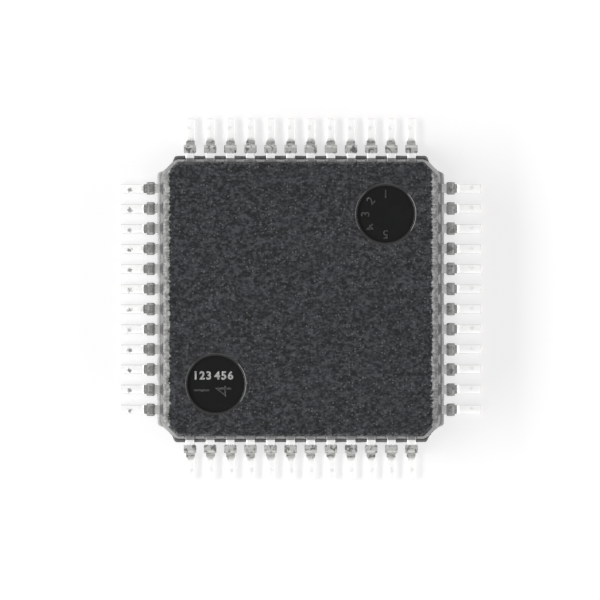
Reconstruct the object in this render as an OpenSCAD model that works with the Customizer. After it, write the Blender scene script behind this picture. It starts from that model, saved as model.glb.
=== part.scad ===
// Quad flat pack: a moulded chip package with gull-wing leads on all four sides.
// The origin is the centre of the seating plane, +Z points up through the marked face,
// and lead 1 is at the -X end of the -Y side. Leads count anticlockwise from there.
// All sizes are in millimetres.

/* [Moulded body] */
// Width and length of the body at its parting plane
body_size = 7; // [6.8:0.1:7.4]
// Thickness of the body
body_thickness = 1.4; // [1.3:0.05:1.6]
// Height of the body's underside above the seating plane
standoff = 0.1; // [0.05:0.01:0.15]
// Leg of the chamfer across each corner
corner_chamfer = 0.42; // [0.36:0.02:0.5]
// Slope of the side walls, away from the parting plane
draft_angle = 10; // [6:1:15]
// Radius along the rims of the top and bottom faces
rim_radius = 0.11; // [0.04:0.01:0.14]
// Radius down the eight upright edges
edge_radius = 0.1; // [0.05:0.01:0.15]

/* [Ejector pin marks] */
// Diameter of each round recess at the face
mark_diameter = 1.5; // [1.2:0.1:1.8]
// Depth of each recess
mark_depth = 0.08; // [0.04:0.01:0.1]
// How much narrower each recess is at its floor, in radius
mark_taper = 0.03; // [0.01:0.01:0.05]
// Distance of each recess's centre from the two nearest sides
mark_inset = 1.4; // [1.2:0.1:1.6]

/* [Mould flash] */
// Reach of the resin web left between the leads
flash_reach = 0.06; // [0.02:0.01:0.09]
// Width of the break in the web at each corner
flash_break = 0.26; // [0.22:0.02:0.34]

/* [Leads] */
// Distance from one lead to the next; each side has as many leads as fit
lead_pitch = 0.5; // [0.46:0.01:0.6]
// Least gap between the last lead on a side and the chamfer
row_end_gap = 0.12; // [0.08:0.01:0.16]
// Width of each lead outside the body
lead_width = 0.22; // [0.17:0.01:0.26]
// Thickness of the leadframe sheet
sheet_thickness = 0.127; // [0.1:0.001:0.15]
// Distance between the toes of opposite leads
lead_span = 9; // [8.9:0.1:9.6]
// Flat length of each lead between the body and its first bend
shoulder_length = 0.11; // [0.1:0.01:0.15]
// Inside radius of both bends
bend_radius = 0.08; // [0.06:0.01:0.12]
// Lean of each lead's riser away from upright
riser_lean = 8; // [2:1:14]

/* [Dam bar stubs] */
// Width across the two cut stubs on each lead
stub_width = 0.31; // [0.28:0.01:0.34]
// How far the stubs reach down the riser below the first bend
stub_drop = 0.09; // [0.04:0.01:0.15]

/* [Lead fingers] */
// Width of each finger at its inner tip
finger_width = 0.18; // [0.14:0.01:0.2]
// Gap between the paddle's edge and the finger tips
finger_gap = 0.2; // [0.15:0.01:0.3]
// Gap between each tie bar and the finger tip beside it
tie_bar_gap = 0.17; // [0.12:0.01:0.2]
// Straight length of each finger inside the body's wall
finger_root = 0.2; // [0.1:0.05:0.3]

/* [Die paddle] */
// Width and length of the paddle
paddle_size = 4.5; // [4.2:0.1:4.8]
// How far the paddle is pressed down below the leads
paddle_downset = 0.2; // [0.15:0.01:0.25]
// Width of each corner tie bar
tie_bar_width = 0.2; // [0.15:0.01:0.2]

/* [Die] */
// Width and length of the silicon die
die_size = 3.2; // [2.6:0.1:3.8]
// Thickness of the silicon die
die_thickness = 0.28; // [0.2:0.01:0.32]
// Thickness of the adhesive under the die
attach_thickness = 0.025; // [0.02:0.005:0.04]
// How far the adhesive spreads beyond the die
attach_margin = 0.06; // [0.02:0.01:0.1]

/* [Bond wires] */
// Diameter of each wire
wire_diameter = 0.025; // [0.02:0.001:0.03]
// Diameter of the flattened ball on the die
ball_diameter = 0.064; // [0.05:0.002:0.07]
// Height of the flattened ball
ball_height = 0.018; // [0.014:0.001:0.022]
// Distance of the balls from the die's edge
ball_inset = 0.08; // [0.06:0.01:0.12]
// Height of the wire loops above the die
loop_height = 0.12; // [0.08:0.01:0.16]
// Distance of the stitch bonds from the finger tips
stitch_inset = 0.13; // [0.1:0.01:0.16]

/* [Hidden] */
$fn = 48;
side_names = ["south", "east", "north", "west"];
row_length = body_size - 2 * (corner_chamfer + row_end_gap) - stub_width;
leads_per_side = 1 + floor(row_length / lead_pitch);
lead_count = len(side_names) * leads_per_side;
function lead_name(pin) = str("lead_", pin < 10 ? "0" : "", pin);

// Levels, from the seating plane up
body_bottom = standoff;
body_top = standoff + body_thickness;
sheet_bottom = (body_bottom + body_top - sheet_thickness) / 2;
sheet_top = sheet_bottom + sheet_thickness;
paddle_bottom = sheet_bottom - paddle_downset;
paddle_top = sheet_top - paddle_downset;
die_bottom = paddle_top + attach_thickness;
die_top = die_bottom + die_thickness;

// Distances from the upright axis
half_body = body_size / 2;
chamfer_distance = (body_size - corner_chamfer) / sqrt(2);
finger_tip_x = paddle_size / 2 + finger_gap;
finger_row_length = 2 * finger_tip_x - sqrt(2) * (tie_bar_width + 2 * tie_bar_gap) - finger_width;
finger_pitch = finger_row_length / (leads_per_side - 1);
first_bend_x = half_body + shoulder_length;
toe_x = lead_span / 2;
mark_centre = half_body - mark_inset;

// Handles of each wire's curve: the first stands this many loop heights above the die, and
// the second lies this share of the way to the stitch
loop_handle_height = 2.4;
loop_handle_reach = 0.6;

// Smoothness of the curves that are worked out point by point
edge_steps = 4;
rim_steps = 5;
wire_steps = 8;
wire_sides = 6;
ball_facets = 24;
through = 0.02; // how far a cutting shape runs past the face that it opens

function direction(angle) = [cos(angle), sin(angle)];
function station_offset(station) = station - (leads_per_side - 1) / 2;
function arc_points(centre, radius, from, to, steps) =
    [for (i = [0:steps]) centre + radius * direction(from + (to - from) * i / steps)];

// ---- Moulded body ----

// Where the octagon's side at `turn` meets the next one, with every side moved in by `inset`
function octagon_corner(turn, inset) =
    let (
        near = (turn % 2 == 0 ? half_body : chamfer_distance) - inset,
        far = (turn % 2 == 0 ? chamfer_distance : half_body) - inset,
        along = (far - near * cos(45)) / sin(45),
        angle = 45 * turn
    )
    near * direction(angle) + along * direction(angle + 90);

// Outline of the body, moved in by `inset`, with its eight corners rounded
function body_outline(inset) = [
    for (turn = [0:7])
        each arc_points(octagon_corner(turn, inset + edge_radius), edge_radius,
                        45 * turn, 45 * (turn + 1), edge_steps)
];

// Height of a face above its side of the leadframe, and how far in its rim's centre line lies
face_height = (body_thickness - sheet_thickness) / 2;
rim_rise = face_height - rim_radius + rim_radius * sin(draft_angle);
rim_inset = rim_rise * tan(draft_angle) + rim_radius * cos(draft_angle);

// [inset, height] of the rings from a straight wall round the rim to the flat face
rim_rings = [
    for (i = [0:rim_steps])
        let (angle = draft_angle + (90 - draft_angle) * i / rim_steps)
        [rim_inset - rim_radius * cos(angle), face_height - rim_radius * (1 - sin(angle))]
];

// Joins rings of points, each with the same number of points, into one solid
module loft(rings) {
    count = len(rings[0]);
    last = len(rings) - 1;
    sides = [
        for (level = [0:last - 1], i = [0:count - 1])
            let (next = (i + 1) % count, low = level * count, high = low + count)
            [low + i, high + i, high + next, low + next]
    ];
    polyhedron(
        points = [for (ring = rings) each ring],
        faces = concat(
            [[for (i = [0:count - 1]) i]],
            sides,
            [[for (i = [count - 1:-1:0]) last * count + i]]
        )
    );
}

module body_core() {
    levels = concat(
        [for (i = [rim_steps:-1:0]) [rim_rings[i][0], sheet_bottom - rim_rings[i][1]]],
        [[0, sheet_bottom], [0, sheet_top]],
        [for (ring = rim_rings) [ring[0], sheet_top + ring[1]]]
    );
    loft([for (level = levels) [for (p = body_outline(level[0])) [p[0], p[1], level[1]]]]);
}

// The web of resin that the dam bar held back between the leads, broken at each tie bar
module mould_flash() {
    translate([0, 0, sheet_bottom])
        difference() {
            linear_extrude(sheet_thickness) polygon(body_outline(-flash_reach));
            for (corner = [0:3])
                rotate([0, 0, 45 + 90 * corner])
                    translate([chamfer_distance, -flash_break / 2, -through])
                        cube([1, flash_break, sheet_thickness + 2 * through]);
        }
}

// The space of one round ejector pin mark, in a face that looks along +Z at the origin
module pin_mark() {
    depth = mark_depth + through;
    floor_radius = mark_diameter / 2 - mark_taper;
    mouth_radius = floor_radius + mark_taper * depth / mark_depth;
    translate([0, 0, -mark_depth]) cylinder(h = depth, r1 = floor_radius, r2 = mouth_radius);
}

// The two marks lie on one diagonal of the top face, and on the same diagonal underneath
module pin_marks() {
    for (turn = [0, 180])
        rotate([0, 0, turn]) {
            translate([mark_centre, mark_centre, body_top]) pin_mark();
            translate([mark_centre, mark_centre, body_bottom]) mirror([0, 0, 1]) pin_mark();
        }
}

module moulded_body() {
    color("dimgray")
        difference() {
            union() {
                body_core();
                mould_flash();
            }
            pin_marks();
            for (side = [0:3])
                on_side(side)
                    for (station = [0:leads_per_side - 1]) {
                        lead_finger(station);
                        bond_wire(station);
                    }
            paddle_sheet();
            attach_block();
            die_block();
        }
}

// ---- Leads ----

module on_side(side) {
    rotate([0, 0, 90 * (side - 1)]) children();
}

// The flat part of a lead, from its tip beside the paddle out to its first bend
module lead_finger(station) {
    tip_y = station_offset(station) * finger_pitch;
    root_y = station_offset(station) * lead_pitch;
    root_x = half_body - finger_root;
    translate([0, 0, sheet_bottom])
        linear_extrude(sheet_thickness)
            polygon([
                [finger_tip_x, tip_y - finger_width / 2],
                [root_x, root_y - lead_width / 2],
                [first_bend_x, root_y - lead_width / 2],
                [first_bend_x, root_y + lead_width / 2],
                [root_x, root_y + lead_width / 2],
                [finger_tip_x, tip_y + finger_width / 2]
            ]);
}

// The two bends of the gull wing, and the straight riser that joins them
outer_radius = bend_radius + sheet_thickness;
riser_length = (sheet_bottom - sheet_thickness - 2 * bend_radius
    + (bend_radius + outer_radius) * sin(riser_lean)) / cos(riser_lean);
upper_centre = [first_bend_x, sheet_bottom - bend_radius];
riser_normal = direction(riser_lean);
riser_down = direction(riser_lean - 90);
lower_centre = upper_centre + (bend_radius + outer_radius) * riser_normal
    + riser_length * riser_down;

// A bend of the sheet about `centre`, seen from the side, between two directions from there
module bend(centre, from, to) {
    reach = 2 * outer_radius;
    translate(centre)
        intersection() {
            difference() {
                circle(outer_radius);
                circle(bend_radius);
            }
            polygon([
                [0, 0],
                reach * direction(from),
                reach * direction((from + to) / 2),
                reach * direction(to)
            ]);
        }
}

// The first bend and a stretch of the riser below it
module upper_bend(drop) {
    bend(upper_centre, riser_lean, 90);
    translate(upper_centre)
        rotate(riser_lean)
            translate([bend_radius, -drop]) square([sheet_thickness, drop]);
}

// Side view of a lead outside the body, with X along the lead and Y up
module gull_wing_profile() {
    translate([half_body, sheet_bottom]) square([shoulder_length, sheet_thickness]);
    upper_bend(riser_length);
    bend(lower_centre, 180 + riser_lean, 270);
    translate([lower_centre[0], 0]) square([toe_x - lower_centre[0], sheet_thickness]);
}

module upright(width) {
    rotate([90, 0, 0]) linear_extrude(width, center = true) children();
}

// What the punch left of the dam bar: a rounded nose towards the body, square on the riser
module dam_bar_stub() {
    nose_length = sqrt(pow(stub_width, 2) - pow(lead_width, 2)) / 2;
    nose_x = first_bend_x + nose_length;
    intersection() {
        upright(stub_width) upper_bend(stub_drop);
        union() {
            translate([nose_x, 0, 0]) cylinder(h = body_top, d = stub_width);
            translate([nose_x, -stub_width / 2, 0]) cube([1, stub_width, body_top]);
        }
    }
}

module lead(pin) {
    side = floor((pin - 1) / leads_per_side);
    station = (pin - 1) % leads_per_side;
    color("silver")
        on_side(side) {
            lead_finger(station);
            translate([0, station_offset(station) * lead_pitch, 0]) {
                upright(lead_width) gull_wing_profile();
                dam_bar_stub();
            }
        }
}

// ---- Die paddle and die ----

// Side view of a tie bar, which climbs from the paddle to the leads' level at 45 degrees
module tie_bar_profile() {
    jog_start = paddle_size / sqrt(2) + tie_bar_width;
    jog_end = jog_start + paddle_downset;
    fold = sheet_thickness * tan(45 / 2);
    polygon([
        [0, paddle_bottom],
        [jog_start, paddle_bottom],
        [jog_end, sheet_bottom],
        [chamfer_distance, sheet_bottom],
        [chamfer_distance, sheet_top],
        [jog_end - fold, sheet_top],
        [jog_start - fold, paddle_top],
        [0, paddle_top]
    ]);
}

// One stamping: the square paddle and the four tie bars that held it in the strip
module paddle_sheet() {
    translate([-paddle_size / 2, -paddle_size / 2, paddle_bottom])
        cube([paddle_size, paddle_size, sheet_thickness]);
    for (corner = [0:3])
        rotate([0, 0, 45 + 90 * corner]) upright(tie_bar_width) tie_bar_profile();
}

module attach_block() {
    size = die_size + 2 * attach_margin;
    translate([-size / 2, -size / 2, paddle_top]) cube([size, size, attach_thickness]);
}

module die_block() {
    translate([-die_size / 2, -die_size / 2, die_bottom])
        cube([die_size, die_size, die_thickness]);
}

module die_paddle() {
    color("peru") paddle_sheet();
}

module die_attach() {
    color("lightgray") attach_block();
}

module silicon_die() {
    color("slategray") die_block();
}

// ---- Bond wires ----

function bezier(p, u) =
    pow(1 - u, 3) * p[0] + 3 * pow(1 - u, 2) * u * p[1] + 3 * (1 - u) * u * u * p[2] + pow(u, 3) * p[3];
function bezier_slope(p, u) =
    3 * pow(1 - u, 2) * (p[1] - p[0]) + 6 * (1 - u) * u * (p[2] - p[1]) + 3 * u * u * (p[3] - p[2]);

// One ring of the wire in its own upright plane: `at` is [distance along, height], and
// the ring leans back from upright as the wire climbs at `climb` degrees
function wire_ring(at, climb, half_width, half_height) = [
    for (i = [0:wire_sides - 1])
        let (angle = 360 * i / wire_sides, rise = half_height * sin(angle))
        [at[0] - rise * sin(climb), half_width * cos(angle), at[1] + rise * cos(climb)]
];

// A wire from the ball on the die, over its loop, and down to the stitch on the finger
module bond_wire(station) {
    start = [die_size / 2 - ball_inset, station_offset(station) * ball_pitch];
    end = [finger_tip_x + stitch_inset, station_offset(station) * finger_pitch];
    reach = norm(end - start);
    radius = wire_diameter / 2;
    flat = sin(360 / wire_sides);
    landing = sheet_top + radius * flat;
    stitch = radius / 2;
    path = [
        [0, die_top + ball_height / 2],
        [0, die_top + loop_handle_height * loop_height],
        [loop_handle_reach * reach, landing],
        [reach, landing]
    ];
    rings = concat(
        [
            for (i = [0:wire_steps])
                let (u = i / wire_steps, slope = bezier_slope(path, u))
                wire_ring(bezier(path, u), atan2(slope[1], slope[0]), radius, radius)
        ],
        [wire_ring([reach + wire_diameter, sheet_top + stitch * flat], 0, 2 * radius, stitch)]
    );
    translate([start[0], start[1], 0]) {
        translate([0, 0, die_top]) cylinder(h = ball_height, d = ball_diameter, $fn = ball_facets);
        rotate([0, 0, atan2(end[1] - start[1], end[0] - start[0])]) loft(rings);
    }
}

// The balls spread evenly along the die's side
ball_pitch = (die_size - 4 * ball_inset) / (leads_per_side - 1);

module bond_wires(side) {
    color("gold")
        on_side(side)
            for (station = [0:leads_per_side - 1]) bond_wire(station);
}

// ---- Parts ----

moulded_body();
die_paddle();
die_attach();
silicon_die();
for (side = [0:3])
    bond_wires(side);
for (pin = [1:lead_count])
    lead(pin);
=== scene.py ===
import math

import bmesh
import bpy
from mathutils import Matrix, Vector, noise


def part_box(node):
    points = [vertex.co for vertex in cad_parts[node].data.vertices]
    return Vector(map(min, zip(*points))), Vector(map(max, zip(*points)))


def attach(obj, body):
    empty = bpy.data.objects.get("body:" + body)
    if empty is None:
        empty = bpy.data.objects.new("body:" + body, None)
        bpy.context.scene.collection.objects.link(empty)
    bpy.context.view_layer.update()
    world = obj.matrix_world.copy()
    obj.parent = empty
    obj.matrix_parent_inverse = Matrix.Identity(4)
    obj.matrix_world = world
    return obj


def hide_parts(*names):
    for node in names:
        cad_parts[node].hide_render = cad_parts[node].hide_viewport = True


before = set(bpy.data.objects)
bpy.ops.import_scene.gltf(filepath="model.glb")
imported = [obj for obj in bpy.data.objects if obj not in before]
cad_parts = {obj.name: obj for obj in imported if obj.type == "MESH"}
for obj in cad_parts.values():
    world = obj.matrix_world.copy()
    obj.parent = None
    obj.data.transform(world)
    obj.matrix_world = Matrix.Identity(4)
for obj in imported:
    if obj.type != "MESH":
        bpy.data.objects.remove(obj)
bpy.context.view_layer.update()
mm = 0.001
sides = ("south", "east", "north", "west")
bodyLow, bodyHigh = (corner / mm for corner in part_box("moulded_body"))
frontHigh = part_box("lead_18")[1] / mm     # a lead on the +X side
leadNames = sorted(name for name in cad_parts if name.startswith("lead_"))
print("frame loaded:", len(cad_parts), "nodes")


def placeObject(name, data):
    obj = bpy.data.objects.new(name, data)
    bpy.context.scene.collection.objects.link(obj)
    return obj


def newObject(name, verts, faces, materials=()):
    mesh = bpy.data.meshes.new(name)
    mesh.from_pydata([tuple(c * mm for c in v) for v in verts], [], faces)
    for material in materials:
        mesh.materials.append(material)
    mesh.update()
    return placeObject(name, mesh)


def arcPoints(centre, radius, start, end, steps):
    angles = [math.radians(start + (end - start) * i / steps) for i in range(steps + 1)]
    return [(centre[0] + radius * math.cos(a), centre[1] + radius * math.sin(a)) for a in angles]


# joins rings of equal length into a closed skin, with a cap at each end
def loftRings(rings):
    count = len(rings[0])
    verts = [v for ring in rings for v in ring]
    faces = [tuple(range(count))[::-1]]
    for low in range(0, len(verts) - count, count):
        for i in range(count):
            after = (i + 1) % count
            faces.append((low + i, low + after, low + count + after, low + count + i))
    faces.append(tuple(range(len(verts) - count, len(verts))))
    return verts, faces


# a solid of revolution about +Z through (x, y), from an outline of (radius, height)
def spinOutline(outline, x, y, count):
    rings = []
    for radius, height in outline:
        turn = [2 * math.pi * i / count for i in range(count)]
        rings.append([(x + radius * math.cos(a), y + radius * math.sin(a), height) for a in turn])
    return loftRings(rings)


# swaps an object's mesh for its evaluated one and drops the modifiers
def applyModifiers(obj):
    graph = bpy.context.evaluated_depsgraph_get()
    mesh = bpy.data.meshes.new_from_object(
        obj.evaluated_get(graph), preserve_all_data_layers=True, depsgraph=graph)
    obj.modifiers.clear()
    obj.data = mesh


def smoothShade(obj, angle):
    obj.data.shade_smooth()
    obj.data.set_sharp_from_angle(angle=math.radians(angle))


# runs one bmesh step over a mesh
def editMesh(mesh, step):
    work = bmesh.new()
    work.from_mesh(mesh)
    step(work)
    work.to_mesh(mesh)
    work.free()


def turnOutward(mesh):
    editMesh(mesh, lambda work: bmesh.ops.recalc_face_normals(work, faces=work.faces))


# a welded copy of a CAD node, whose own mesh is loose triangles
def weldedCopy(node):
    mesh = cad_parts[node].data.copy()
    editMesh(mesh, lambda work: bmesh.ops.remove_doubles(work, verts=work.verts, dist=1e-7))
    return placeObject("copy_" + node, mesh)


def cutAway(obj, cutters):
    for cutter in cutters:
        cut = obj.modifiers.new("cut", "BOOLEAN")
        cut.operation = "DIFFERENCE"
        cut.solver = "MANIFOLD"
        cut.material_mode = "TRANSFER"
        cut.object = cutter
    applyModifiers(obj)
    for cutter in cutters:
        bpy.data.objects.remove(cutter)


def newMaterial(name):
    material = bpy.data.materials.new(name)
    material.use_nodes = True
    return material, material.node_tree, material.node_tree.nodes["Principled BSDF"]


def addNode(tree, kind, values=(), **settings):
    node = tree.nodes.new(kind)
    for name, value in settings.items():
        setattr(node, name, value)
    for name, value in dict(values).items():
        if isinstance(value, bpy.types.NodeSocket):
            tree.links.new(value, node.inputs[name])
        else:
            node.inputs[name].default_value = value
    return node


# gives a function that adds math nodes to one tree
def mathIn(tree):
    def calc(operation, *values, clamp=False):
        node = addNode(tree, "ShaderNodeMath", enumerate(values), operation=operation, use_clamp=clamp)
        return node.outputs[0]
    return calc


# 0 at `low` and 1 at `high`, eased at both ends
def addRamp(tree, value, low, high):
    ends = {"Value": value, "From Min": low, "From Max": high}
    return addNode(tree, "ShaderNodeMapRange", ends, interpolation_type="SMOOTHSTEP").outputs["Result"]


# `low` where the share is 0 and `high` where it is 1
def addRange(tree, share, low, high):
    return addNode(tree, "ShaderNodeMapRange",
                   {"Value": share, "To Min": low, "To Max": high}).outputs["Result"]


def addAxes(tree, vector):
    return addNode(tree, "ShaderNodeSeparateXYZ", {"Vector": vector}).outputs


def addAttribute(tree, name):
    return addNode(tree, "ShaderNodeAttribute", attribute_name=name).outputs["Fac"]


def mixColors(tree, factor, first, second, blend="MIX"):
    return addNode(tree, "ShaderNodeMix", {0: factor, 6: first, 7: second},
                   data_type="RGBA", blend_type=blend).outputs[2]


def addBump(tree, shader, height, strength, depth):
    bump = addNode(tree, "ShaderNodeBump", {"Height": height, "Strength": strength, "Distance": depth * mm})
    tree.links.new(bump.outputs["Normal"], shader.inputs["Normal"])


def newGroup(name, inputs, outputs):
    group = bpy.data.node_groups.new(name, "ShaderNodeTree")
    kinds = {"vector": "NodeSocketVector", "float": "NodeSocketFloat"}
    for label, kind, value in inputs:
        socket = group.interface.new_socket(label, in_out="INPUT", socket_type=kinds[kind])
        if value is not None:
            socket.default_value = value
    for label, kind in outputs:
        group.interface.new_socket(label, in_out="OUTPUT", socket_type=kinds[kind])
    return group, group.nodes.new("NodeGroupInput").outputs, group.nodes.new("NodeGroupOutput").inputs


def useGroup(tree, group, **values):
    named = {name[0].upper() + name[1:]: value for name, value in values.items()}
    return addNode(tree, "ShaderNodeGroup", named, node_tree=group).outputs


# fine even pitting, as a spark-eroded mould leaves it: a shade from 0 to 1, and a height
def makeErodedGrain():
    group, given, result = newGroup(
        "erodedGrain",
        [("Vector", "vector", None), ("Scale", "float", 24000.0), ("Contrast", "float", 1.0),
         ("Stretch", "vector", (1.0, 1.0, 1.0))],
        [("Shade", "float"), ("Height", "float")])
    calc = mathIn(group)
    drawn = addNode(group, "ShaderNodeVectorMath", {0: given["Vector"], 1: given["Stretch"]},
                    operation="MULTIPLY").outputs[0]
    fine = addNode(group, "ShaderNodeTexNoise", {"Vector": drawn, "Scale": given["Scale"],
                                                 "Detail": 3.0, "Roughness": 0.62})
    coarse = addNode(group, "ShaderNodeTexNoise", {"Vector": drawn, "Detail": 2.0, "Roughness": 0.5,
                                                   "Scale": calc("MULTIPLY", given["Scale"], 0.36)})
    both = calc("ADD", calc("MULTIPLY", fine.outputs["Fac"], 0.7),
                calc("MULTIPLY", coarse.outputs["Fac"], 0.3))
    centred = calc("MULTIPLY", calc("SUBTRACT", both, 0.5), given["Contrast"])
    shade = calc("ADD", calc("MULTIPLY", centred, 3.2), 0.5, clamp=True)
    group.links.new(calc("POWER", shade, 1.5), result["Shade"])     # more dark ground than pale flecks
    group.links.new(both, result["Height"])
    return group


# sparse pale specks, where grains of filler lie at the skin
def makeFillerSpecks():
    group, given, result = newGroup(
        "fillerSpecks",
        [("Vector", "vector", None), ("Scale", "float", 14000.0), ("Share", "float", 0.1),
         ("Size", "float", 0.25)],
        [("Mask", "float")])
    calc = mathIn(group)
    cells = addNode(group, "ShaderNodeTexVoronoi", {"Vector": given["Vector"], "Scale": given["Scale"]})
    near = calc("LESS_THAN", cells.outputs["Distance"], given["Size"])
    tint = addNode(group, "ShaderNodeSeparateColor", {"Color": cells.outputs["Color"]})
    picked = calc("LESS_THAN", tint.outputs["Red"], given["Share"])
    soft = calc("SUBTRACT", 1.0, calc("DIVIDE", cells.outputs["Distance"], given["Size"]), clamp=True)
    mask = calc("MULTIPLY", calc("MULTIPLY", near, picked), soft)
    group.links.new(calc("MULTIPLY", mask, 1.6, clamp=True), result["Mask"])
    return group


# drawn-out streaks of rolled or scraped metal, along the second axis of Vector
def makeRolledStreaks():
    group, given, result = newGroup(
        "rolledStreaks",
        [("Vector", "vector", None), ("Across", "float", 60.0), ("Along", "float", 6.0)],
        [("Shade", "float"), ("Height", "float")])
    scale = addNode(group, "ShaderNodeCombineXYZ",
                    {"X": given["Across"], "Y": given["Along"], "Z": given["Across"]})
    stretched = addNode(group, "ShaderNodeVectorMath", {0: given["Vector"], 1: scale.outputs[0]},
                        operation="MULTIPLY")
    streaks = addNode(group, "ShaderNodeTexNoise", {"Vector": stretched.outputs[0], "Scale": 1.0,
                                                    "Detail": 4.0, "Roughness": 0.6}).outputs["Fac"]
    group.links.new(addRamp(group, streaks, 0.3, 0.7), result["Shade"])
    group.links.new(streaks, result["Height"])
    return group


# soft-edged blotches of tarnish or resin bleed
def makeBlotches():
    group, given, result = newGroup(
        "blotches",
        [("Vector", "vector", None), ("Scale", "float", 10.0), ("Cover", "float", 0.5)],
        [("Mask", "float")])
    calc = mathIn(group)
    clouds = addNode(group, "ShaderNodeTexNoise", {"Vector": given["Vector"], "Scale": given["Scale"],
                                                   "Detail": 3.0, "Roughness": 0.55, "Distortion": 0.6})
    low = calc("SUBTRACT", 0.72, calc("MULTIPLY", given["Cover"], 0.4))
    high = calc("ADD", low, 0.14)
    group.links.new(addRamp(group, clouds.outputs["Fac"], low, high), result["Mask"])
    return group


# where on the body a place is: 1 on the two sides that look along X, and 1 in line with a lead
def makeSideMasks():
    group, given, result = newGroup("sideMasks", [("Vector", "vector", None), ("Pitch", "float", 0.0005)],
                                    [("OnX", "float"), ("OverLead", "float")])
    calc = mathIn(group)
    axes = addAxes(group, given["Vector"])
    excess = calc("SUBTRACT", calc("ABSOLUTE", axes["X"]), calc("ABSOLUTE", axes["Y"]))
    onX = addRamp(group, excess, -0.25 * mm, 0.25 * mm)
    along = calc("ADD", axes["X"], calc("MULTIPLY", onX, calc("SUBTRACT", axes["Y"], axes["X"])))
    phase = calc("FRACT", calc("DIVIDE", along, given["Pitch"]))
    aside = calc("ABSOLUTE", calc("SUBTRACT", phase, 0.5))
    inRow = addRamp(group, calc("ABSOLUTE", along), 2.98 * mm, 2.9 * mm)
    group.links.new(onX, result["OnX"])
    group.links.new(calc("MULTIPLY", addRamp(group, aside, 0.27, 0.13), inRow), result["OverLead"])
    return group


grainGroup = makeErodedGrain()
speckGroup = makeFillerSpecks()
streakGroup = makeRolledStreaks()
blotchGroup = makeBlotches()
sideGroup = makeSideMasks()


# lengths in mm, scales per metre
mouldFinish = {
    "dark": (0.0075, 0.0079, 0.0086, 1.0),
    "light": (0.0655, 0.069, 0.0755, 1.0),
    "speck": (0.135, 0.137, 0.142, 1.0),
    # the rim colour below is partly edge wear and partly a painted highlight
    "worn": (0.15, 0.15, 0.15, 1.0),
    "paintedRimHighlight": (0.50, 0.50, 0.49, 1.0),      # painted highlight along the rims of the X sides
    "paintedRimHighlightFrom": 3.232,                    # from the middle of the chip
    "paintedRimHighlightTo": 3.268,
    "paintedRimHighlightRagged": 0.22,
    "wallPaintedLit": (0.11, 0.11, 0.108, 1.0),   # painted light on the walls of the X sides
    "wallFootPaintedLight": (0.30, 0.30, 0.295, 1.0),   # painted light low on the X-side walls, where they meet the web
    "wallDark": (0.030, 0.031, 0.033, 1.0),
    "wallPaintedShade": (0.050, 0.051, 0.053, 1.0),  # painted shade over the leads
    "grainScale": 17000.0,
    "grainContrast": 1.6,
    "grainStretch": (0.84, 1.1, 1.0),
    "grainBump": 0.6,
    "grainDepth": 0.006,
    "speckScale": 15000.0,
    "speckShare": 0.2,
    "speckSize": 0.40,                      # of a speck's cell
    "cloudScale": 900.0,
    "cloudCover": 0.55,
    "cloudDepth": 0.08,
    "specularLevel": 0.22,
    "topRoughness": 0.62,
    "rimRoughness": 0.40,
    "wallRoughness": 0.15,
    "dullRoughness": 0.42,
}


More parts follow.
